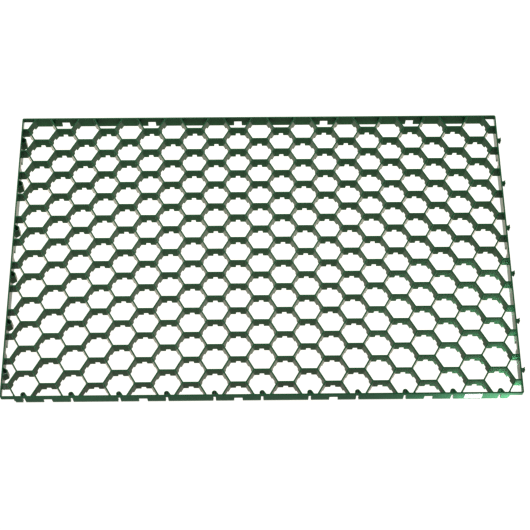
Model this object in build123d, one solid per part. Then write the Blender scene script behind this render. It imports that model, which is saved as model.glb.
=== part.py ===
from build123d import *
import os
from math import atan2, degrees

# One-piece moulded honeycomb ground panel, in millimetres.
# The plan is centred on the origin, the underside lies on z = 0, and the front wall faces -Y.

# --- Overall size ---
LENGTH = 800.0
WIDTH = 500.0
HEIGHT = 23.0
WALL = 2.2
FOOT = 0.5  # webs and connectors stop this far above the ground, so that the frame carries the panel

# --- Honeycomb: column pitches along the length, cell pitches across the width ---
COLUMNS = 22
ROWS = 12
SIDE_SETBACK = 2.2  # the side walls stand this far inside the honeycomb's outermost columns

# --- Drain notch in the foot of every web ---
WEB_NOTCH_FOOT = 8.0
WEB_NOTCH_ROOF = 6.5
WEB_NOTCH_HEIGHT = 7.0

# --- Openings in the foot of the frame walls: width at the foot, at the roof, and height ---
WALL_NOTCH = (13.2, 12.4, 12.0)
STEM_SLOT = (4.2, 3.4, 17.0)
CORNER_OPENING_HEIGHT = 13.5
RAIL_FOOT = 17.0

# --- Edge connectors: the back pegs enter the front sockets of the next panel, ---
# --- and the right tongues enter its left pockets ---
PANEL_GAP = 0.4
CONNECTOR_CLEARANCE = 0.3
SOCKET_BORE = 5.0
SOCKET_OUTER = 8.2
SOCKET_SETBACK = 2.6
SOCKET_TOP = 21.5
GUSSET_LENGTH = 2.4
PEG_TOP = 10.5
PEG_STEM = 2.0
POCKET_BASE = 14.0
POCKET_FACE = 6.4
POCKET_DEPTH = 6.6
POCKET_WALL = 1.3
POCKET_HEIGHT = 21.0
TONGUE_STEM = 2.2
TONGUE_HEAD = 5.4
TONGUE_FOOT = 4.0
TONGUE_TOP = 16.0

# --- Blank price label on the front wall ---
LABEL_WIDTH = 27.0
LABEL_HEIGHT = 18.0
LABEL_THICKNESS = 0.2
LABEL_COLUMN = 19.88

# --- Places that follow from the dimensions above ---
COLUMN_PITCH = (LENGTH - WALL + 2 * SIDE_SETBACK) / COLUMNS
ROW_PITCH = (WIDTH - WALL) / ROWS
HALF_WEB = COLUMN_PITCH / 3
HALF = WALL / 2
X_LINE = (LENGTH - WALL) / 2
Y_LINE = (WIDTH - WALL) / 2
X_FACE = LENGTH / 2
Y_FACE = WIDTH / 2
PEG_OFFSET = PANEL_GAP + WALL + SOCKET_SETBACK
CELL_COLUMNS = range(1, COLUMNS, 2)
CONNECTOR_ROWS = range(1, ROWS, 2)
NOTCH_COLUMNS = range(2, COLUMNS, 4)
NOTCH_ROWS = range(2, ROWS, 4)


def column_x(column):
    """X of a column's middle line; columns 0 and 22 lie just outside the side walls."""
    return (column - COLUMNS / 2) * COLUMN_PITCH


def row_y(row):
    """Y of a row line; rows 0 and 12 run along the front and back walls."""
    return row * ROW_PITCH - Y_LINE


def prism(outline, foot, top):
    """Upright prism on a closed plan outline."""
    face = make_face(Polyline(*outline, close=True))
    return extrude(Pos(0, 0, foot) * face, amount=top - foot, dir=(0, 0, 1))


def block(x_span, y_span, z_span):
    """Box between pairs of limits."""
    size = [high - low for low, high in (x_span, y_span, z_span)]
    middle = [(high + low) / 2 for low, high in (x_span, y_span, z_span)]
    return Pos(*middle) * Box(*size)


# ---------------------------------------------------------------- webs

# Directions in which webs leave a corner of the honeycomb
EAST = Vector(1, 0)
WEST = Vector(-1, 0)
NORTH_EAST = Vector(HALF_WEB, ROW_PITCH / 2).normalized()
NORTH_WEST = Vector(-HALF_WEB, ROW_PITCH / 2).normalized()
SOUTH_EAST = Vector(HALF_WEB, -ROW_PITCH / 2).normalized()
SOUTH_WEST = Vector(-HALF_WEB, -ROW_PITCH / 2).normalized()


def shoulder(corner, one, other):
    """Point where the side faces of two webs that leave a corner meet."""
    spread = abs(one.X * other.Y - one.Y * other.X)
    return corner + (one + other) * (HALF / spread)


def web_notch(start, end):
    """Solid of the drain notch in the middle of a web's foot."""
    foot, roof = WEB_NOTCH_FOOT / 2, WEB_NOTCH_ROOF / 2
    profile = Polyline(
        (-foot, 0), (foot, 0), (roof, WEB_NOTCH_HEIGHT), (-roof, WEB_NOTCH_HEIGHT), close=True
    )
    tool = extrude(Plane.XZ * make_face(profile), amount=WALL, both=True)
    middle = (start + end) / 2
    heading = degrees(atan2(end.Y - start.Y, end.X - start.X))
    return Pos(middle.X, middle.Y, 0) * Rot(0, 0, heading) * tool


def cross_web():
    """Web along X between two honeycomb corners, centred on the origin."""
    left = Vector(-HALF_WEB, 0)
    right = Vector(HALF_WEB, 0)
    outline = [
        left,
        shoulder(left, EAST, SOUTH_WEST),
        shoulder(right, WEST, SOUTH_EAST),
        right,
        shoulder(right, WEST, NORTH_EAST),
        shoulder(left, EAST, NORTH_WEST),
    ]
    return prism(outline, FOOT, HEIGHT) - web_notch(left, right)


def half_cross_web():
    """Short web from the left wall's inner face to the first honeycomb corner."""
    right = Vector(HALF_WEB, 0)
    wall_face = SIDE_SETBACK + HALF
    outline = [
        (wall_face, -HALF),
        shoulder(right, WEST, SOUTH_EAST),
        right,
        shoulder(right, WEST, NORTH_EAST),
        (wall_face, HALF),
    ]
    return prism(outline, FOOT, HEIGHT)


def slanted_web(ends_on_wall):
    """Web that rises to the right from the origin; its lower end may stop on the front wall."""
    low = Vector(0, 0)
    high = Vector(HALF_WEB, ROW_PITCH / 2)
    along = NORTH_EAST
    upper_end = [
        shoulder(high, SOUTH_WEST, EAST),
        high,
        shoulder(high, SOUTH_WEST, NORTH_WEST),
    ]
    if ends_on_wall:
        reach = (HALF - HALF * along.X) / along.Y
        right_foot = Vector(HALF * along.Y, -HALF * along.X) + along * ((HALF + HALF * along.X) / along.Y)
        left_foot = Vector(-HALF * along.Y, HALF * along.X) + along * reach
        lower_end = [left_foot, right_foot]
    else:
        lower_end = [
            shoulder(low, along, WEST),
            low,
            shoulder(low, along, SOUTH_EAST),
        ]
    return prism(lower_end + upper_end, FOOT, HEIGHT) - web_notch(low, high)


FULL_WEB = cross_web()
LEFT_HALF_WEB = half_cross_web()
RIGHT_HALF_WEB = mirror(LEFT_HALF_WEB, about=Plane.YZ)

# Slanted webs by (odd column on the left, web in the cell's upper half, end on a frame wall)
SLANTED = {}
for on_wall in (False, True):
    rising = slanted_web(on_wall)
    falling = mirror(rising, about=Plane.XZ)
    SLANTED[True, False, on_wall] = rising
    SLANTED[True, True, on_wall] = falling
    SLANTED[False, False, on_wall] = mirror(rising, about=Plane.YZ)
    SLANTED[False, True, on_wall] = mirror(falling, about=Plane.YZ)


def cross_webs(column):
    """All webs along X in one column."""
    x = column_x(column)
    if column == 0:
        web = LEFT_HALF_WEB
    elif column == COLUMNS:
        web = RIGHT_HALF_WEB
    else:
        web = FULL_WEB
    if column % 2:
        rows = range(1, ROWS)
    else:
        rows = [row + 0.5 for row in range(ROWS)]
    return [Pos(x, row_y(row), 0) * web for row in rows]


def zigzag_webs(gap):
    """The slanted webs between one column and the next, as a zigzag from front to back."""
    odd_on_left = gap % 2 == 0
    odd_column = gap - 1 if odd_on_left else gap
    x = column_x(odd_column) + (HALF_WEB if odd_on_left else -HALF_WEB)
    webs = []
    for row in range(ROWS):
        lower = SLANTED[odd_on_left, False, row == 0]
        upper = SLANTED[odd_on_left, True, row == ROWS - 1]
        webs.append(Pos(x, row_y(row), 0) * lower)
        webs.append(Pos(x, row_y(row + 1), 0) * upper)
    return webs


# ---------------------------------------------------------------- frame walls

def wall_rail(length):
    """Unbroken strip along a wall's top, centred on the origin and running along X."""
    return block((-length / 2, length / 2), (-HALF, HALF), (RAIL_FOOT, HEIGHT))


def wall_lintels(notches, corner, end):
    """Solids between the rail and the roof of each wide notch and corner opening."""
    solids = []
    for x in notches:
        half = WALL_NOTCH[1] / 2
        solids.append(block((x - half, x + half), (-HALF, HALF), (WALL_NOTCH[2], RAIL_FOOT)))
    for side in (-1, 1):
        span = sorted((side * corner, side * end))
        solids.append(block(span, (-HALF, HALF), (CORNER_OPENING_HEIGHT, RAIL_FOOT)))
    return solids


def leg_side(x, opening, side):
    """Edge of a leg beside an opening, from the foot up: side is -1 on the opening's left."""
    foot, roof, height = opening
    edge = [(x + side * foot / 2, 0), (x + side * roof / 2, height)]
    if height < RAIL_FOOT:
        edge.append((x + side * roof / 2, RAIL_FOOT))
    return edge


def wall_legs(openings, corner):
    """Legs that carry the rail between one opening and the next; openings are (x, sizes)."""
    corner_edge = (0.0, 0.0, RAIL_FOOT)
    stops = [(-corner, corner_edge)] + sorted(openings) + [(corner, corner_edge)]
    legs = []
    for (left, left_size), (right, right_size) in zip(stops, stops[1:]):
        outline = leg_side(left, left_size, 1) + leg_side(right, right_size, -1)[::-1]
        face = make_face(Polyline(*outline, close=True))
        legs.append(extrude(Plane.XZ * face, amount=HALF, both=True))
    return legs


LONG_CORNER = -column_x(1) + HALF_WEB + HALF / NORTH_EAST.Y
SHORT_CORNER = Y_LINE - ROW_PITCH / 2 + HALF
SHORT_END = Y_FACE - WALL

FRONT_PLACE = Pos(0, -Y_LINE, 0)
BACK_PLACE = Pos(0, Y_LINE, 0)
LEFT_PLACE = Pos(-X_LINE, 0, 0) * Rot(0, 0, 90)
RIGHT_PLACE = Pos(X_LINE, 0, 0) * Rot(0, 0, 90)

LONG_NOTCHES = [column_x(column) for column in NOTCH_COLUMNS]
SHORT_NOTCHES = [row_y(row) for row in NOTCH_ROWS]
FRONT_OPENINGS = [(x, WALL_NOTCH) for x in LONG_NOTCHES]
FRONT_OPENINGS += [(column_x(column), STEM_SLOT) for column in CELL_COLUMNS]
BACK_OPENINGS = [(x, WALL_NOTCH) for x in LONG_NOTCHES]
RIGHT_OPENINGS = [(y, WALL_NOTCH) for y in SHORT_NOTCHES]
LEFT_OPENINGS = RIGHT_OPENINGS + [(row_y(row), STEM_SLOT) for row in CONNECTOR_ROWS]


def rail_node(place, notches, corner, end):
    """A wall's rail with its lintels."""
    return [place * solid for solid in [wall_rail(2 * end)] + wall_lintels(notches, corner, end)]


def leg_node(place, openings, corner):
    """A wall's legs."""
    return [place * leg for leg in wall_legs(openings, corner)]


# ---------------------------------------------------------------- edge connectors

def front_socket():
    """Tube on the front wall's inner face, slit towards the wall, with a gusset on its right."""
    centre_y = HALF + SOCKET_SETBACK
    outer = Pos(0, centre_y) * Circle(SOCKET_OUTER / 2)
    gusset = make_face(
        Polyline(
            (0, HALF),
            (SOCKET_OUTER / 2 + GUSSET_LENGTH, HALF),
            (SOCKET_OUTER / 2 - 0.6, centre_y + 0.6),
            (0, centre_y),
            close=True,
        )
    )
    wall_side = Pos(0, HALF - SOCKET_OUTER / 2) * Rectangle(4 * SOCKET_OUTER, SOCKET_OUTER)
    plan = outer + gusset - wall_side - Pos(0, centre_y) * Circle(SOCKET_BORE / 2)
    tube = extrude(Pos(0, 0, FOOT) * plan, amount=SOCKET_TOP - FOOT, dir=(0, 0, 1))
    slit_width, slit_height = STEM_SLOT[1:]
    slit = block((-slit_width / 2, slit_width / 2), (0, centre_y), (0, slit_height))
    return tube - slit


def back_peg():
    """Round peg on a thin stem outside the back wall; its stem starts on the outer face."""
    centre = Pos(0, HALF + PEG_OFFSET)
    head = centre * Circle(SOCKET_BORE / 2 - CONNECTOR_CLEARANCE)
    stem = Pos(0, HALF + PEG_OFFSET / 2) * Rectangle(PEG_STEM, PEG_OFFSET)
    return extrude(Pos(0, 0, FOOT) * (head + stem), amount=PEG_TOP - FOOT, dir=(0, 0, 1))


def side_pocket():
    """Three walls of a pocket on the left wall's inner face, mitred at their corners."""
    outer = [
        Vector(HALF, -POCKET_BASE / 2),
        Vector(HALF + POCKET_DEPTH, -POCKET_FACE / 2),
        Vector(HALF + POCKET_DEPTH, POCKET_FACE / 2),
        Vector(HALF, POCKET_BASE / 2),
    ]
    slant = (outer[1] - outer[0]).normalized()
    side_shift = POCKET_WALL / slant.X
    half_face = POCKET_BASE / 2 - side_shift - slant.Y * (POCKET_DEPTH - POCKET_WALL) / slant.X
    inner = [
        Vector(HALF, -POCKET_BASE / 2 + side_shift),
        Vector(HALF + POCKET_DEPTH - POCKET_WALL, -half_face),
        Vector(HALF + POCKET_DEPTH - POCKET_WALL, half_face),
        Vector(HALF, POCKET_BASE / 2 - side_shift),
    ]
    walls = []
    for near, far in ((0, 1), (1, 2), (2, 3)):
        outline = [outer[near], outer[far], inner[far], inner[near]]
        walls.append(prism(outline, FOOT, POCKET_HEIGHT))
    return walls


def side_tongue():
    """Tongue outside the right wall: a stem that flares into a head like a fish tail."""
    neck = HALF + PANEL_GAP + WALL + CONNECTOR_CLEARANCE
    tip = HALF + PANEL_GAP + WALL + POCKET_DEPTH - POCKET_WALL - 3 * CONNECTOR_CLEARANCE
    stem = TONGUE_STEM / 2
    head = TONGUE_HEAD / 2
    outline = [
        (HALF, -stem),
        (neck, -stem),
        (tip - POCKET_WALL, -head),
        (tip, -head),
        (tip - POCKET_WALL / 2, 0),
        (tip, head),
        (tip - POCKET_WALL, head),
        (neck, stem),
        (HALF, stem),
    ]
    return prism(outline, TONGUE_FOOT, TONGUE_TOP)


def blank_label():
    """Plain paper label stuck to the front wall's outer face."""
    x = column_x(LABEL_COLUMN)
    half = LABEL_WIDTH / 2
    middle = HEIGHT / 2
    outer = -Y_FACE - LABEL_THICKNESS
    z_span = (middle - LABEL_HEIGHT / 2, middle + LABEL_HEIGHT / 2)
    return block((x - half, x + half), (outer, -Y_FACE), z_span)


# ---------------------------------------------------------------- nodes

NODES = {
    "front_rail": rail_node(FRONT_PLACE, LONG_NOTCHES, LONG_CORNER, X_FACE),
    "back_rail": rail_node(BACK_PLACE, LONG_NOTCHES, LONG_CORNER, X_FACE),
    "left_rail": rail_node(LEFT_PLACE, SHORT_NOTCHES, SHORT_CORNER, SHORT_END),
    "right_rail": rail_node(RIGHT_PLACE, SHORT_NOTCHES, SHORT_CORNER, SHORT_END),
    "front_legs": leg_node(FRONT_PLACE, FRONT_OPENINGS, LONG_CORNER),
    "back_legs": leg_node(BACK_PLACE, BACK_OPENINGS, LONG_CORNER),
    "left_legs": leg_node(LEFT_PLACE, LEFT_OPENINGS, SHORT_CORNER),
    "right_legs": leg_node(RIGHT_PLACE, RIGHT_OPENINGS, SHORT_CORNER),
    "blank_label": [blank_label()],
}

SOCKET = front_socket()
PEG = back_peg()
POCKET = side_pocket()
TONGUE = side_tongue()
NODES["front_sockets"] = [Pos(column_x(column), -Y_LINE, 0) * SOCKET for column in CELL_COLUMNS]
NODES["back_pegs"] = [Pos(column_x(column), Y_LINE, 0) * PEG for column in CELL_COLUMNS]
NODES["side_pockets"] = [
    Pos(-X_LINE, row_y(row), 0) * wall for row in CONNECTOR_ROWS for wall in POCKET
]
NODES["side_tongues"] = [Pos(X_LINE, row_y(row), 0) * TONGUE for row in CONNECTOR_ROWS]

for column in range(COLUMNS + 1):
    NODES[f"cross_webs_{column:02d}"] = cross_webs(column)
for gap in range(1, COLUMNS + 1):
    NODES[f"zigzag_webs_{gap:02d}"] = zigzag_webs(gap)

os.makedirs("parts", exist_ok=True)
for name, pieces in NODES.items():
    solids = [solid for piece in pieces for solid in piece.solids()]
    export_step(Compound(solids), f"parts/{name}.step")
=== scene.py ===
import math

import bmesh
import bpy
from mathutils import Matrix, Vector

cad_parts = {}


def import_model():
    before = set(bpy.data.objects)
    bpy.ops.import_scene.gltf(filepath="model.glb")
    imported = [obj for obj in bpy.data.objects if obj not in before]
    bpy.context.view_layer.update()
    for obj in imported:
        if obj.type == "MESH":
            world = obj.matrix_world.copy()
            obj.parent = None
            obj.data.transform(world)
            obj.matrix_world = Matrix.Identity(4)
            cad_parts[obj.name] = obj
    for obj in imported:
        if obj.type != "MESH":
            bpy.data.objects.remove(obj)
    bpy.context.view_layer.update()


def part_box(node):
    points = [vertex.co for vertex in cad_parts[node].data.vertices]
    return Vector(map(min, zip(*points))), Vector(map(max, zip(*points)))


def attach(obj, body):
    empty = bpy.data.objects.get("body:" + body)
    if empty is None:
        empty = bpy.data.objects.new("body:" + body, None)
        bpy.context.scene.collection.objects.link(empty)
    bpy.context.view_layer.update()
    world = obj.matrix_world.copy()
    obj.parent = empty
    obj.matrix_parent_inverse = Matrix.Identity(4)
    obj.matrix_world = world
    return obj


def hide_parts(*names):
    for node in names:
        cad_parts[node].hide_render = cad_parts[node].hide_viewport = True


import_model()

# ---------------------------------------------------------------- sizes, in metres

MM = 0.001

# Places read from the frame
FRONT_LOW, FRONT_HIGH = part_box("front_rail")
BACK_LOW, BACK_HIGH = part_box("back_rail")
LENGTH = FRONT_HIGH.x - FRONT_LOW.x
WIDTH = BACK_HIGH.y - FRONT_LOW.y
HEIGHT = FRONT_HIGH.z
WALL = FRONT_HIGH.y - FRONT_LOW.y
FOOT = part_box("cross_webs_01")[0].z

# The honeycomb
COLUMNS = 22
ROWS = 12
SIDE_SETBACK = 2.2 * MM     # the side walls stand this far inside the outermost columns
COLUMN_PITCH = (LENGTH - WALL + 2 * SIDE_SETBACK) / COLUMNS
ROW_PITCH = (WIDTH - WALL) / ROWS
HALF_WEB = COLUMN_PITCH / 3
HALF = WALL / 2
X_LINE = (LENGTH - WALL) / 2
Y_LINE = (WIDTH - WALL) / 2

# Moulding details
RIM_ROUND = 0.3 * MM        # rounding of rims, feet and openings
FILLET = 1.0 * MM           # fillet where webs and walls meet
CORNER_ROUND = 2.5 * MM     # outer corners of the panel
ARC_STEPS = 4
ROUND_STEPS = 2
TUBE_STEPS = 20             # steps round a socket or a peg
BORE_STEPS = 32

# Openings: width at the foot, width at the roof, height
WEB_NOTCH = (8.0 * MM, 6.5 * MM, 7.0 * MM)
WALL_NOTCH = (13.2 * MM, 12.4 * MM, 12.0 * MM)
STEM_SLOT = (4.2 * MM, 3.4 * MM, 17.0 * MM)
CORNER_OPENING_HEIGHT = 13.5 * MM

# Edge connectors
SOCKET_BORE = 2.5 * MM
SOCKET_OUTER = 4.1 * MM
SOCKET_SETBACK = 2.6 * MM
GUSSET_LENGTH = 2.4 * MM
GUSSET_TIP = 0.3 * MM       # thickness of the gusset's far end
GUSSET_MEETS = math.radians(30)     # where the gusset leaves the tube, seen from its centre
PEG_CLEARANCE = 0.3 * MM    # between a peg and the bore it enters
PEG_STEM = 2.0 * MM
POCKET_FACE = 6.4 * MM      # width of a pocket's far side
POCKET_THICKNESS = 1.3 * MM
POCKET_ROUND = 0.35 * MM
TONGUE_STEM = 2.2 * MM
TONGUE_HEAD = 3.1 * MM      # length of a tongue's flared end
TONGUE_FLARE = 1.3 * MM     # the part of it at full width

# Label
LABEL_ROUND = 1.2 * MM

CELL_COLUMNS = range(1, COLUMNS, 2)
CONNECTOR_ROWS = range(1, ROWS, 2)
NOTCH_COLUMNS = range(2, COLUMNS, 4)
NOTCH_ROWS = range(2, ROWS, 4)


def column_x(column):
    return (column - COLUMNS / 2) * COLUMN_PITCH


def row_y(row):
    return row * ROW_PITCH - Y_LINE


# ---------------------------------------------------------------- plan outlines

EAST = Vector((1, 0))
WEST = Vector((-1, 0))
NORTH = Vector((0, 1))
SOUTH = Vector((0, -1))
NORTH_EAST = Vector((HALF_WEB, ROW_PITCH / 2)).normalized()
NORTH_WEST = Vector((-NORTH_EAST.x, NORTH_EAST.y))
SOUTH_EAST = Vector((NORTH_EAST.x, -NORTH_EAST.y))


def arc(centre, start, end, radius, steps=ARC_STEPS):
    """Points on an arc round centre, from direction start to direction end, the short way."""
    turn = start.angle_signed(end)
    points = []
    for step in range(steps + 1):
        direction = start.copy()
        direction.rotate(Matrix.Rotation(-turn * step / steps, 2))
        points.append(centre + direction * radius)
    return points


def side_normal(along, towards):
    """Unit vector across a web, on the side that towards lies on."""
    across = towards - along * towards.dot(along)
    return across.normalized()


def mitre_fillet(corner, along, other):
    """Half of the fillet between a web and its neighbour, from their mitre to the web's side."""
    bisector = (along + other).normalized()
    half_angle = along.angle(other) / 2
    centre = corner + bisector * ((HALF + FILLET) / math.sin(half_angle))
    return arc(centre, -bisector, -side_normal(along, other), FILLET)


def wall_fillet(corner, along, wall):
    """The whole fillet between a frame wall's inner face and a web that ends on it."""
    bisector = (along + wall).normalized()
    half_angle = along.angle(wall) / 2
    centre = corner + bisector * ((HALF + FILLET) / math.sin(half_angle))
    return arc(centre, -side_normal(wall, along), -side_normal(along, wall), FILLET, 2 * ARC_STEPS)


# ---------------------------------------------------------------- solids from outlines

def prism(outline, low, high):
    """Closed upright prism as a bmesh, from a plan outline taken anticlockwise."""
    bm = bmesh.new()
    foot = [bm.verts.new((p.x, p.y, low)) for p in outline]
    top = [bm.verts.new((p.x, p.y, high)) for p in outline]
    bm.faces.new(foot[::-1])
    bm.faces.new(top)
    count = len(outline)
    for i in range(count):
        j = (i + 1) % count
        bm.faces.new((foot[i], foot[j], top[j], top[i]))
    bmesh.ops.recalc_face_normals(bm, faces=bm.faces)
    return bm


def to_object(bm, name):
    mesh = bpy.data.meshes.new(name)
    bm.to_mesh(mesh)
    bm.free()
    obj = bpy.data.objects.new(name, mesh)
    bpy.context.scene.collection.objects.link(obj)
    return obj


def cut(bm, cutters):
    """Subtracts closed bmeshes from bm."""
    body = to_object(bm, "cut_body")
    tools = [to_object(tool, "cut_tool") for tool in cutters]
    for tool in tools:
        modifier = body.modifiers.new("cut", "BOOLEAN")
        modifier.operation = "DIFFERENCE"
        modifier.solver = "EXACT"
        modifier.object = tool
    graph = bpy.context.evaluated_depsgraph_get()
    result = bmesh.new()
    result.from_object(body, graph)
    for obj in [body] + tools:
        mesh = obj.data
        bpy.data.objects.remove(obj)
        bpy.data.meshes.remove(mesh)
    bmesh.ops.remove_doubles(result, verts=result.verts, dist=0.001 * MM)
    bmesh.ops.dissolve_limit(
        result, angle_limit=math.radians(1), verts=result.verts, edges=result.edges
    )
    return result


def round_edges(bm, keep_sharp, radius=RIM_ROUND):
    """Rounds every sharp edge but those of the faces that meet a neighbouring solid."""
    bm.normal_update()
    edges = []
    for edge in bm.edges:
        if len(edge.link_faces) != 2 or edge.calc_face_angle() < math.radians(35):
            continue
        if any(keep_sharp(face) for face in edge.link_faces):
            continue
        edges.append(edge)
    bmesh.ops.bevel(
        bm,
        geom=edges,
        offset=radius,
        offset_type="OFFSET",
        segments=ROUND_STEPS,
        profile=0.5,
        affect="EDGES",
        clamp_overlap=True,
    )
    return bm


def opening_tool(x, sizes, depth):
    """Cutter for a trapezoid opening in the foot of a wall that runs along X."""
    foot, roof, height = sizes
    below = 1 * MM
    outline = [(-foot / 2, -below), (foot / 2, -below), (roof / 2, height), (-roof / 2, height)]
    bm = bmesh.new()
    near = [bm.verts.new((x + px, -depth, pz)) for px, pz in outline]
    far = [bm.verts.new((x + px, depth, pz)) for px, pz in outline]
    bm.faces.new(near)
    bm.faces.new(far[::-1])
    for i in range(4):
        j = (i + 1) % 4
        bm.faces.new((near[j], near[i], far[i], far[j]))
    bmesh.ops.recalc_face_normals(bm, faces=bm.faces)
    return bm


def moved(bm, matrix):
    bmesh.ops.transform(bm, matrix=matrix, verts=bm.verts)
    if matrix.determinant() < 0:
        bmesh.ops.reverse_faces(bm, faces=bm.faces)
    return bm


def turned_tool(start, end, sizes):
    """Opening cutter in the middle of a web from start to end."""
    middle = (start + end) / 2
    heading = math.atan2(end.y - start.y, end.x - start.x)
    place = Matrix.Translation((middle.x, middle.y, 0)) @ Matrix.Rotation(heading, 4, "Z")
    return moved(opening_tool(0, sizes, 2 * WALL), place)


# ---------------------------------------------------------------- webs

def faces_neighbour(lines):
    """Test for faces that stand on one of the plan lines, given as (point, direction)."""
    def on_line(face):
        if abs(face.normal.z) > 0.1:
            return False
        for point, direction in lines:
            across = Vector((-direction.y, direction.x))
            if all(abs((v.co.xy - point).dot(across)) < 0.01 * MM for v in face.verts):
                return True
        return False
    return on_line


def cross_web():
    left = Vector((-HALF_WEB, 0))
    right = Vector((HALF_WEB, 0))
    outline = [left]
    outline += mitre_fillet(left, EAST, -NORTH_EAST)
    outline += mitre_fillet(right, WEST, SOUTH_EAST)[::-1]
    outline += [right]
    outline += mitre_fillet(right, WEST, NORTH_EAST)
    outline += mitre_fillet(left, EAST, NORTH_WEST)[::-1]
    mitres = [
        (left, (EAST - NORTH_EAST).normalized()),
        (left, (EAST + NORTH_WEST).normalized()),
        (right, (WEST + SOUTH_EAST).normalized()),
        (right, (WEST + NORTH_EAST).normalized()),
    ]
    body = cut(prism(outline, FOOT, HEIGHT), [turned_tool(left, right, WEB_NOTCH)])
    return round_edges(body, faces_neighbour(mitres))


def half_cross_web():
    """Short web from the left wall to the first corner of the honeycomb."""
    wall = Vector((SIDE_SETBACK, 0))
    right = Vector((HALF_WEB, 0))
    inside = wall.x + HALF - RIM_ROUND
    lower = wall_fillet(wall, EAST, SOUTH)
    upper = wall_fillet(wall, EAST, NORTH)
    outline = [Vector((inside, lower[0].y))] + lower
    outline += mitre_fillet(right, WEST, SOUTH_EAST)[::-1]
    outline += [right]
    outline += mitre_fillet(right, WEST, NORTH_EAST)
    outline += upper[::-1] + [Vector((inside, upper[0].y))]
    joints = [
        (Vector((inside, 0)), NORTH),
        (lower[0], EAST),
        (upper[0], EAST),
        (right, (WEST + SOUTH_EAST).normalized()),
        (right, (WEST + NORTH_EAST).normalized()),
    ]
    return round_edges(prism(outline, FOOT, HEIGHT), faces_neighbour(joints))


def slanted_web(ends_on_wall):
    """Web that rises to the right from the origin; its lower end may stop on the front wall."""
    low = Vector((0, 0))
    high = Vector((HALF_WEB, ROW_PITCH / 2))
    along = NORTH_EAST
    inside = HALF - RIM_ROUND
    joints = [
        (high, (EAST - along).normalized()),
        (high, (NORTH_WEST - along).normalized()),
    ]
    upper_end = mitre_fillet(high, -along, EAST)[::-1] + [high]
    upper_end += mitre_fillet(high, -along, NORTH_WEST)
    if ends_on_wall:
        right = wall_fillet(low, along, EAST)
        left = wall_fillet(low, along, WEST)
        outline = [Vector((right[0].x, inside))] + right + upper_end
        outline += left[::-1] + [Vector((left[0].x, inside))]
        joints += [(Vector((0, inside)), EAST), (right[0], NORTH), (left[0], NORTH)]
    else:
        outline = [low] + mitre_fillet(low, along, SOUTH_EAST) + upper_end
        outline += mitre_fillet(low, along, WEST)[::-1]
        joints += [
            (low, (along + SOUTH_EAST).normalized()),
            (low, (along + WEST).normalized()),
        ]
    body = cut(prism(outline, FOOT, HEIGHT), [turned_tool(low, high, WEB_NOTCH)])
    return round_edges(body, faces_neighbour(joints))


# ---------------------------------------------------------------- frame walls

def wall_plate(length, openings, corner):
    """Wall along X, outer face towards -Y, mitred at both ends, with its openings cut."""
    end = length / 2
    mitre_left = (Vector((-end + HALF, 0)), Vector((1, 1)).normalized())
    mitre_right = (Vector((end - HALF, 0)), Vector((-1, 1)).normalized())
    outer = Vector((-end + CORNER_ROUND, -HALF + CORNER_ROUND))
    diagonal = Vector((-1, -1)).normalized()
    left_arc = arc(outer, diagonal, SOUTH, CORNER_ROUND)
    inner = Vector((-end + WALL + FILLET, HALF + FILLET))
    left_fillet = arc(inner, SOUTH, diagonal, FILLET)
    outline = left_arc
    outline += [Vector((-p.x, p.y)) for p in left_arc[::-1]]
    outline += [Vector((-p.x, p.y)) for p in left_fillet[::-1]]
    outline += left_fillet
    tools = [opening_tool(x, sizes, 3 * WALL) for x, sizes in openings]
    reach = end - corner
    for side in (-1, 1):
        sizes = (2 * reach, 2 * reach, CORNER_OPENING_HEIGHT)
        tools.append(opening_tool(side * end, sizes, 6 * WALL))
    body = cut(prism(outline, 0, HEIGHT), tools)
    return round_edges(body, faces_neighbour([mitre_left, mitre_right]))


# ---------------------------------------------------------------- edge connectors

def cylinder(x, y, radius, low, high):
    outline = []
    for step in range(BORE_STEPS):
        angle = 2 * math.pi * step / BORE_STEPS
        outline.append(Vector((x + radius * math.cos(angle), y + radius * math.sin(angle))))
    return prism(outline, low, high)


def rectangle(x_span, y_span, low, high):
    (x0, x1), (y0, y1) = x_span, y_span
    outline = [Vector((x0, y0)), Vector((x1, y0)), Vector((x1, y1)), Vector((x0, y1))]
    return prism(outline, low, high)


def front_socket(top):
    """Tube with a gusset on its right, on the inner face of a wall along X through the origin."""
    centre = Vector((0, HALF + SOCKET_SETBACK))
    meets_wall = math.acos(SOCKET_SETBACK / SOCKET_OUTER)
    start = GUSSET_MEETS
    end = math.radians(270) - meets_wall
    outline = [Vector((SOCKET_OUTER + GUSSET_LENGTH, HALF))]
    outline.append(Vector((SOCKET_OUTER + GUSSET_LENGTH, HALF + GUSSET_TIP)))
    for step in range(TUBE_STEPS + 1):
        angle = start + (end - start) * step / TUBE_STEPS
        outline.append(centre + Vector((math.cos(angle), math.sin(angle))) * SOCKET_OUTER)
    outline[-1].y = HALF
    bore = cylinder(centre.x, centre.y, SOCKET_BORE, -MM, HEIGHT + MM)
    slit = STEM_SLOT[1] / 2
    tools = [bore, rectangle((-slit, slit), (0, centre.y), -MM, STEM_SLOT[2])]
    body = cut(prism(outline, FOOT, top), tools)
    return round_edges(body, faces_neighbour([(Vector((0, HALF)), EAST)]))


def back_peg(top, out):
    """Peg on a stem outside a wall along X through the origin; out is the wall's face to the tip."""
    radius = SOCKET_BORE - PEG_CLEARANCE
    stem = PEG_STEM / 2
    centre = Vector((0, HALF + out - radius))
    meets_stem = math.asin(stem / radius)
    start = math.radians(-90) + meets_stem
    end = math.radians(270) - meets_stem
    outline = [Vector((-stem, HALF)), Vector((stem, HALF))]
    for step in range(TUBE_STEPS + 1):
        angle = start + (end - start) * step / TUBE_STEPS
        outline.append(centre + Vector((math.cos(angle), math.sin(angle))) * radius)
    body = prism(outline, FOOT, top)
    return round_edges(body, faces_neighbour([(Vector((0, HALF)), EAST)]))


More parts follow.
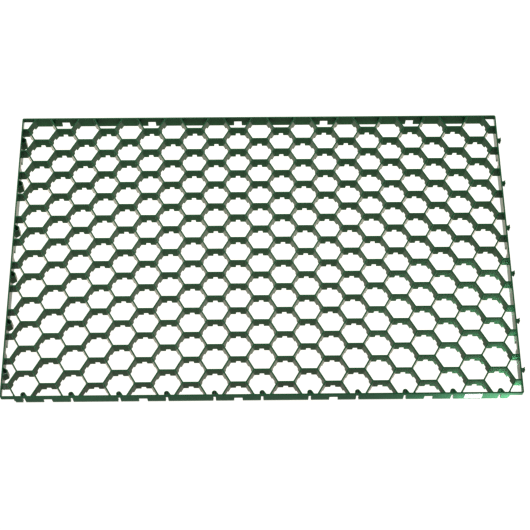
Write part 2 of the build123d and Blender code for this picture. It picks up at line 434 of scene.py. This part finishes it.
def side_pocket(depth, base, top):
    """Walls of a pocket on the inner face of a wall along Y through the origin."""
    slope = (base - POCKET_FACE) / 2 / depth
    shift = POCKET_THICKNESS * math.hypot(1, slope)
    inner_depth = depth - POCKET_THICKNESS
    inner_base = base / 2 - shift
    inner_face = inner_base - slope * inner_depth
    outline = [
        Vector((HALF, -base / 2)),
        Vector((HALF + depth, -POCKET_FACE / 2)),
        Vector((HALF + depth, POCKET_FACE / 2)),
        Vector((HALF, base / 2)),
        Vector((HALF, inner_base)),
        Vector((HALF + inner_depth, inner_face)),
        Vector((HALF + inner_depth, -inner_face)),
        Vector((HALF, -inner_base)),
    ]
    body = prism(outline, FOOT, top)
    return round_edges(body, faces_neighbour([(Vector((HALF, 0)), NORTH)]), POCKET_ROUND)


def side_tongue(out, head, low, high):
    """Fish-tail tongue outside a wall along Y through the origin."""
    tip = HALF + out
    flare = tip - TONGUE_FLARE
    neck = tip - TONGUE_HEAD
    outline = [
        Vector((HALF, -TONGUE_STEM / 2)),
        Vector((neck, -TONGUE_STEM / 2)),
        Vector((flare, -head / 2)),
        Vector((tip, -head / 2)),
        Vector((tip - TONGUE_FLARE / 2, 0)),
        Vector((tip, head / 2)),
        Vector((flare, head / 2)),
        Vector((neck, TONGUE_STEM / 2)),
        Vector((HALF, TONGUE_STEM / 2)),
    ]
    body = prism(outline, low, high)
    return round_edges(body, faces_neighbour([(Vector((HALF, 0)), NORTH)]))


# ---------------------------------------------------------------- materials

def nodes_of(material):
    material.use_nodes = True
    tree = material.node_tree
    return tree.nodes, tree.links, tree.nodes["Principled BSDF"]


def noise(nodes, links, vector, scale, detail, roughness=0.5):
    node = nodes.new("ShaderNodeTexNoise")
    node.inputs["Scale"].default_value = scale
    node.inputs["Detail"].default_value = detail
    node.inputs["Roughness"].default_value = roughness
    links.new(vector, node.inputs["Vector"])
    return node.outputs["Fac"]


def ramp(nodes, links, value, stops):
    node = nodes.new("ShaderNodeValToRGB")
    elements = node.color_ramp.elements
    for element, (place, colour) in zip(elements, stops):
        element.position = place
        element.color = colour
    for place, colour in stops[2:]:
        elements.new(place).color = colour
    links.new(value, node.inputs["Fac"])
    return node.outputs["Color"]


def grey(value):
    return (value, value, value, 1)


def mix(nodes, links, factor, one, other):
    node = nodes.new("ShaderNodeMix")
    node.data_type = "RGBA"
    links.new(factor, node.inputs["Factor"])
    for socket, value in ((node.inputs[6], one), (node.inputs[7], other)):
        if isinstance(value, tuple):
            socket.default_value = value
        else:
            links.new(value, socket)
    return node.outputs[2]


def moulded_plastic():
    """Dark green polyolefin: through-coloured, semi-gloss, with faint flow marks, dust and scuffs."""
    material = bpy.data.materials.new("moulded_green_plastic")
    nodes, links, shader = nodes_of(material)
    place = nodes.new("ShaderNodeTexCoord").outputs["Object"]

    pigment = noise(nodes, links, place, 18, 4)
    body = ramp(nodes, links, pigment, [
        (0.30, (0.025, 0.120, 0.052, 1)),
        (0.70, (0.033, 0.152, 0.066, 1)),
    ])
    dust = noise(nodes, links, place, 90, 6, 0.65)
    dust_mask = ramp(nodes, links, dust, [(0.55, grey(0.0)), (0.80, grey(0.25))])
    colour = mix(nodes, links, dust_mask, body, (0.070, 0.160, 0.095, 1))
    links.new(colour, shader.inputs["Base Color"])

    gloss = noise(nodes, links, place, 60, 5)
    roughness = ramp(nodes, links, gloss, [(0.30, grey(0.12)), (0.75, grey(0.24))])
    links.new(roughness, shader.inputs["Roughness"])

    grain = noise(nodes, links, place, 2600, 2)
    flow = noise(nodes, links, place, 220, 3)
    fine = nodes.new("ShaderNodeBump")
    fine.inputs["Strength"].default_value = 0.08
    fine.inputs["Distance"].default_value = 0.0001
    links.new(grain, fine.inputs["Height"])
    coarse = nodes.new("ShaderNodeBump")
    coarse.inputs["Strength"].default_value = 0.12
    coarse.inputs["Distance"].default_value = 0.0004
    links.new(flow, coarse.inputs["Height"])
    links.new(fine.outputs["Normal"], coarse.inputs["Normal"])
    links.new(coarse.outputs["Normal"], shader.inputs["Normal"])
    shader.inputs["IOR"].default_value = 1.13
    shader.inputs["Coat Weight"].default_value = 1.0
    shader.inputs["Coat IOR"].default_value = 1.08
    shader.inputs["Coat Roughness"].default_value = 0.12
    return material


def label_paper():
    """Matt white label stock with a faint fibre and a little handling dirt."""
    material = bpy.data.materials.new("label_paper")
    nodes, links, shader = nodes_of(material)
    place = nodes.new("ShaderNodeTexCoord").outputs["Object"]
    fibre = noise(nodes, links, place, 900, 5, 0.6)
    tint = ramp(nodes, links, fibre, [
        (0.30, (0.42, 0.41, 0.38, 1)),
        (0.70, (0.50, 0.50, 0.47, 1)),
    ])
    links.new(tint, shader.inputs["Base Color"])
    sheen = noise(nodes, links, place, 300, 3)
    links.new(ramp(nodes, links, sheen, [(0.3, grey(0.55)), (0.7, grey(0.75))]),
              shader.inputs["Roughness"])
    bump = nodes.new("ShaderNodeBump")
    bump.inputs["Strength"].default_value = 0.15
    bump.inputs["Distance"].default_value = 0.0001
    links.new(fibre, bump.inputs["Height"])
    links.new(bump.outputs["Normal"], shader.inputs["Normal"])
    return material


PLASTIC = moulded_plastic()
PAPER = label_paper()


# ---------------------------------------------------------------- pieces

def finish_piece(obj, material, nodes):
    """Material, smooth shading with flat faces kept flat, and the CAD nodes it stands for."""
    obj.data.materials.clear()
    obj.data.materials.append(material)
    for polygon in obj.data.polygons:
        polygon.use_smooth = True
    obj.data.set_sharp_from_angle(angle=math.radians(38))
    weighted = obj.modifiers.new("flat faces", "WEIGHTED_NORMAL")
    weighted.keep_sharp = True
    weighted.weight = 100
    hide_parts(*nodes)
    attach(obj, "root")
    return obj


def piece(name, parts, nodes, material=PLASTIC):
    """One object from (prototype mesh, matrix) pairs."""
    joined = bmesh.new()
    for mesh, matrix in parts:
        before = len(joined.verts)
        faces_before = len(joined.faces)
        joined.from_mesh(mesh)
        joined.verts.ensure_lookup_table()
        joined.faces.ensure_lookup_table()
        bmesh.ops.transform(joined, matrix=matrix, verts=joined.verts[before:])
        if matrix.determinant() < 0:
            bmesh.ops.reverse_faces(joined, faces=joined.faces[faces_before:])
    return finish_piece(to_object(joined, name), material, nodes)


def prototype(bm, name):
    mesh = bpy.data.meshes.new(name)
    bm.to_mesh(mesh)
    bm.free()
    return mesh


def at(x, y, flip_x=False, flip_y=False):
    scale = Matrix.Diagonal((-1 if flip_x else 1, -1 if flip_y else 1, 1, 1))
    return Matrix.Translation((x, y, 0)) @ scale


def make_cross_webs():
    full = prototype(cross_web(), "cross_web")
    half = prototype(half_cross_web(), "half_cross_web")
    for column in range(COLUMNS + 1):
        at_side = column in (0, COLUMNS)
        mesh = half if at_side else full
        rows = range(1, ROWS) if column % 2 else [row + 0.5 for row in range(ROWS)]
        x = column_x(column)
        parts = [(mesh, at(x, row_y(row), flip_x=column == COLUMNS)) for row in rows]
        node = f"cross_webs_{column:02d}"
        piece(f"{node}_moulded", parts, [node])


def make_zigzag_webs():
    plain = prototype(slanted_web(False), "slanted_web")
    on_wall = prototype(slanted_web(True), "slanted_web_on_wall")
    for gap in range(1, COLUMNS + 1):
        odd_on_left = gap % 2 == 0
        odd_column = gap - 1 if odd_on_left else gap
        x = column_x(odd_column) + (HALF_WEB if odd_on_left else -HALF_WEB)
        parts = []
        for row in range(ROWS):
            lower = on_wall if row == 0 else plain
            upper = on_wall if row == ROWS - 1 else plain
            parts.append((lower, at(x, row_y(row), flip_x=not odd_on_left)))
            parts.append((upper, at(x, row_y(row + 1), flip_x=not odd_on_left, flip_y=True)))
        node = f"zigzag_webs_{gap:02d}"
        piece(f"{node}_moulded", parts, [node])


def make_walls():
    long_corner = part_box("front_legs")[1].x
    short_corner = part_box("left_legs")[1].y
    wide_x = [(column_x(column), WALL_NOTCH) for column in NOTCH_COLUMNS]
    slots_x = [(column_x(column), STEM_SLOT) for column in CELL_COLUMNS]
    wide_y = [(row_y(row), WALL_NOTCH) for row in NOTCH_ROWS]
    slots_y = [(row_y(row), STEM_SLOT) for row in CONNECTOR_ROWS]
    quarter = math.pi / 2
    walls = {
        "front": (LENGTH, wide_x + slots_x, long_corner, (0, -Y_LINE), 0),
        "right": (WIDTH, wide_y, short_corner, (X_LINE, 0), quarter),
        "back": (LENGTH, [(-x, s) for x, s in wide_x], long_corner, (0, Y_LINE), 2 * quarter),
        "left": (WIDTH, [(-y, s) for y, s in wide_y + slots_y], short_corner, (-X_LINE, 0), -quarter),
    }
    for side, (length, openings, corner, (x, y), turn) in walls.items():
        mesh = prototype(wall_plate(length, openings, corner), f"{side}_wall")
        place = Matrix.Translation((x, y, 0)) @ Matrix.Rotation(turn, 4, "Z")
        piece(f"{side}_wall_moulded", [(mesh, place)], [f"{side}_rail", f"{side}_legs"])


def make_connectors():
    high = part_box("front_sockets")[1]
    socket = prototype(front_socket(high.z), "front_socket")
    places = [at(column_x(column), -Y_LINE) for column in CELL_COLUMNS]
    piece("front_sockets_moulded", [(socket, place) for place in places], ["front_sockets"])

    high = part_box("back_pegs")[1]
    peg = prototype(back_peg(high.z, high.y - WIDTH / 2), "back_peg")
    places = [at(column_x(column), Y_LINE) for column in CELL_COLUMNS]
    piece("back_pegs_moulded", [(peg, place) for place in places], ["back_pegs"])

    rows_apart = row_y(CONNECTOR_ROWS[-1]) - row_y(CONNECTOR_ROWS[0])
    low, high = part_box("side_pockets")
    base = high.y - low.y - rows_apart
    pocket = prototype(side_pocket(high.x - low.x, base, high.z), "side_pocket")
    places = [at(-X_LINE, row_y(row)) for row in CONNECTOR_ROWS]
    piece("side_pockets_moulded", [(pocket, place) for place in places], ["side_pockets"])

    low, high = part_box("side_tongues")
    head = high.y - low.y - rows_apart
    tongue = prototype(side_tongue(high.x - low.x, head, low.z, high.z), "side_tongue")
    places = [at(X_LINE, row_y(row)) for row in CONNECTOR_ROWS]
    piece("side_tongues_moulded", [(tongue, place) for place in places], ["side_tongues"])


def make_label():
    """Blank label: rounded corners, stuck flat but for two corners that lift a little."""
    low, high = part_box("blank_label")
    middle = (low + high) / 2
    width, tall = high.x - low.x, high.z - low.z
    columns, rows = 18, 12
    thickness = high.y - low.y
    bm = bmesh.new()
    grid = []
    for row in range(rows + 1):
        line = []
        for column in range(columns + 1):
            x = (column / columns - 0.5) * width
            z = (row / rows - 0.5) * tall
            over_x = max(0.0, abs(x) - (width / 2 - LABEL_ROUND))
            over_z = max(0.0, abs(z) - (tall / 2 - LABEL_ROUND))
            far = math.hypot(over_x, over_z)
            if far > LABEL_ROUND:
                x -= math.copysign(over_x * (1 - LABEL_ROUND / far), x)
                z -= math.copysign(over_z * (1 - LABEL_ROUND / far), z)
            lift_one = max(0.0, 1 - math.hypot(x - width / 2, z - tall / 2) / (7 * MM))
            lift_two = max(0.0, 1 - math.hypot(x + width / 2, z + tall / 2) / (5 * MM))
            lift = thickness * (0.35 * lift_one**2 + 0.25 * lift_two**2)
            y = high.y - thickness / 4 - lift
            line.append(bm.verts.new((middle.x + x, y, middle.z + z)))
        grid.append(line)
    for row in range(rows):
        for column in range(columns):
            bm.faces.new((
                grid[row][column],
                grid[row][column + 1],
                grid[row + 1][column + 1],
                grid[row + 1][column],
            ))
    bmesh.ops.recalc_face_normals(bm, faces=bm.faces)
    obj = to_object(bm, "blank_label_paper")
    solid = obj.modifiers.new("thickness", "SOLIDIFY")
    solid.thickness = thickness / 2
    solid.offset = 0
    finish_piece(obj, PAPER, ["blank_label"])


make_walls()
make_cross_webs()
make_zigzag_webs()
make_connectors()
make_label()


# ---------------------------------------------------------------- studio

FLOOR_REACH = 30
FLOOR_GLOW = 1.03
CARD_HEIGHT = 0.2 * MM      # the cards lie just above the floor
RAMP_MIDDLE = 0.5           # a ramp starts at 0, so that it takes places on both sides of 0 from here

LENS = 88.8
CAMERA_PLACE = (-0.0114, -0.9483, 1.8990)
CAMERA_TURN = (0.45559, -0.00434, -0.01072)

# Lamps near the front right corner, just above the floor
LAMP_HEIGHT = 5 * MM
LAMP_SLANT = Vector((-0.35, 1.0, 0.35))
LAMP_TINT = (0.9, 1.0, 1.05)
LAMP_DEPTH = 6 * MM
LAMP_COLUMNS = range(15, COLUMNS + 1)
LAMP_ROWS = range(6)
LAMP_SETBACK = 15 * MM      # in front of the cross web that it lights
LAMP_POWER = 0.008          # at the corner, in watts
LAMP_FADE = 0.11            # distance over which it falls to a third
LAMP_REACH = 2.2            # in units of that distance


def area_light(name, place, aim, size, power, colour=(1, 1, 1)):
    data = bpy.data.lights.new(name, "AREA")
    data.shape = "RECTANGLE"
    data.size, data.size_y = size
    data.energy = power
    data.color = colour
    obj = bpy.data.objects.new(name, data)
    obj.location = place
    obj.rotation_euler = (Vector(aim) - Vector(place)).to_track_quat("-Z", "Y").to_euler()
    bpy.context.scene.collection.objects.link(obj)
    return obj


def sheet(name, x_span, y_span, height):
    """Flat matt sheet for the studio, with the nodes, links and shader of its material."""
    bm = bmesh.new()
    (x0, x1), (y0, y1) = x_span, y_span
    corners = [(x0, y0), (x1, y0), (x1, y1), (x0, y1)]
    bm.faces.new([bm.verts.new((x, y, height)) for x, y in corners])
    obj = to_object(bm, name)
    material = bpy.data.materials.new(name)
    nodes, links, shader = nodes_of(material)
    shader.inputs["Roughness"].default_value = 1.0
    shader.inputs["Specular IOR Level"].default_value = 0.0
    obj.data.materials.append(material)
    return obj, nodes, links, shader


def floor():
    """Plain high-key floor: a pale sheet that glows evenly, as on a light table."""
    span = (-FLOOR_REACH, FLOOR_REACH)
    shader = sheet("floor", span, span, 0)[-1]
    shader.inputs["Base Color"].default_value = (0.10, 0.10, 0.10, 1)
    shader.inputs["Emission Color"].default_value = (1.0, 0.98, 0.945, 1)
    shader.inputs["Emission Strength"].default_value = FLOOR_GLOW


def card(name, x_span, y_span, axis, stops, tint=(1, 1, 1)):
    """Card that only the plastic sees. Its glow follows stops of (place along the axis, strength)."""
    obj, nodes, links, shader = sheet(name, x_span, y_span, CARD_HEIGHT)
    split = nodes.new("ShaderNodeSeparateXYZ")
    links.new(nodes.new("ShaderNodeTexCoord").outputs["Object"], split.inputs[0])
    along = nodes.new("ShaderNodeMath")
    links.new(split.outputs[axis], along.inputs[0])
    along.inputs[1].default_value = RAMP_MIDDLE
    brightest = max(strength for metres, strength in stops)
    colours = []
    for metres, strength in stops:
        red, green, blue = (strength / brightest * part for part in tint)
        colours.append((metres + RAMP_MIDDLE, (red, green, blue, 1)))
    glow = ramp(nodes, links, along.outputs[0], colours)
    shader.inputs["Base Color"].default_value = (0.05, 0.05, 0.05, 1)
    links.new(glow, shader.inputs["Emission Color"])
    shader.inputs["Emission Strength"].default_value = brightest
    obj.visible_camera = False
    obj.visible_shadow = False


def cards():
    """One card lies before the front wall, and a warm one under the panel."""
    before_wall = -WIDTH / 2 - 1.5 * MM
    front_stops = [(0.0, 0.48), (0.25, 0.50), (0.42, 1.8)]
    card("front_flag", (-0.6, 0.6), (-0.6, before_wall), "X", front_stops)
    under_stops = [(-0.24, 0.76), (0.05, 1.22)]
    card("under_flag", (-0.396, 0.396), (-0.247, 0.247), "Y", under_stops, (1.0, 0.91, 0.80))


def world():
    data = bpy.data.worlds.new("studio")
    bpy.context.scene.world = data
    data.use_nodes = True
    background = data.node_tree.nodes["Background"]
    background.inputs["Color"].default_value = (1, 1, 1, 1)
    background.inputs["Strength"].default_value = 0.55


def camera():
    data = bpy.data.cameras.new("camera")
    data.sensor_width = 36
    data.lens = LENS
    obj = bpy.data.objects.new("camera", data)
    obj.location = CAMERA_PLACE
    obj.rotation_euler = CAMERA_TURN
    bpy.context.scene.collection.objects.link(obj)
    bpy.context.scene.camera = obj


def low_lamp(name, x, y, width, power):
    """Small unseen lamp that lights the front sides of the webs or of the front wall from below."""
    place = Vector((x, y, LAMP_HEIGHT))
    light = area_light(name, place, place + LAMP_SLANT, (width, LAMP_DEPTH), power, LAMP_TINT)
    light.visible_camera = False
    light.visible_glossy = False


def corner_lamps():
    """One lamp in each cell near the front right corner, weaker with distance, and three outside."""
    for column in LAMP_COLUMNS:
        width, shift = (8 * MM, -9 * MM) if column == COLUMNS else (24 * MM, 6 * MM)
        for row in LAMP_ROWS:
            x = column_x(column) + shift
            y = row_y(row + 0.5 * (column % 2 == 0)) - LAMP_SETBACK
            reach = math.hypot(X_LINE - x, 0.6 * (y + Y_LINE)) / LAMP_FADE
            if y > -Y_LINE and reach < LAMP_REACH:
                low_lamp(f"glow_{column}_{row}", x, y, width, LAMP_POWER * math.exp(-reach))
    for x, power in ((0.22, 0.005), (0.29, 0.014), (0.36, 0.034)):
        low_lamp(f"glow_front_{x}", x, -Y_LINE - 22 * MM, 70 * MM, power)


floor()
cards()
world()
camera()
area_light("softbox_back", (-0.5, 1.3, 2.6), (0, 0, 0), (2.0, 1.2), 42)
corner_lamps()
bpy.context.scene.view_settings.view_transform = "Standard"
bpy.context.scene.view_settings.gamma = 0.8
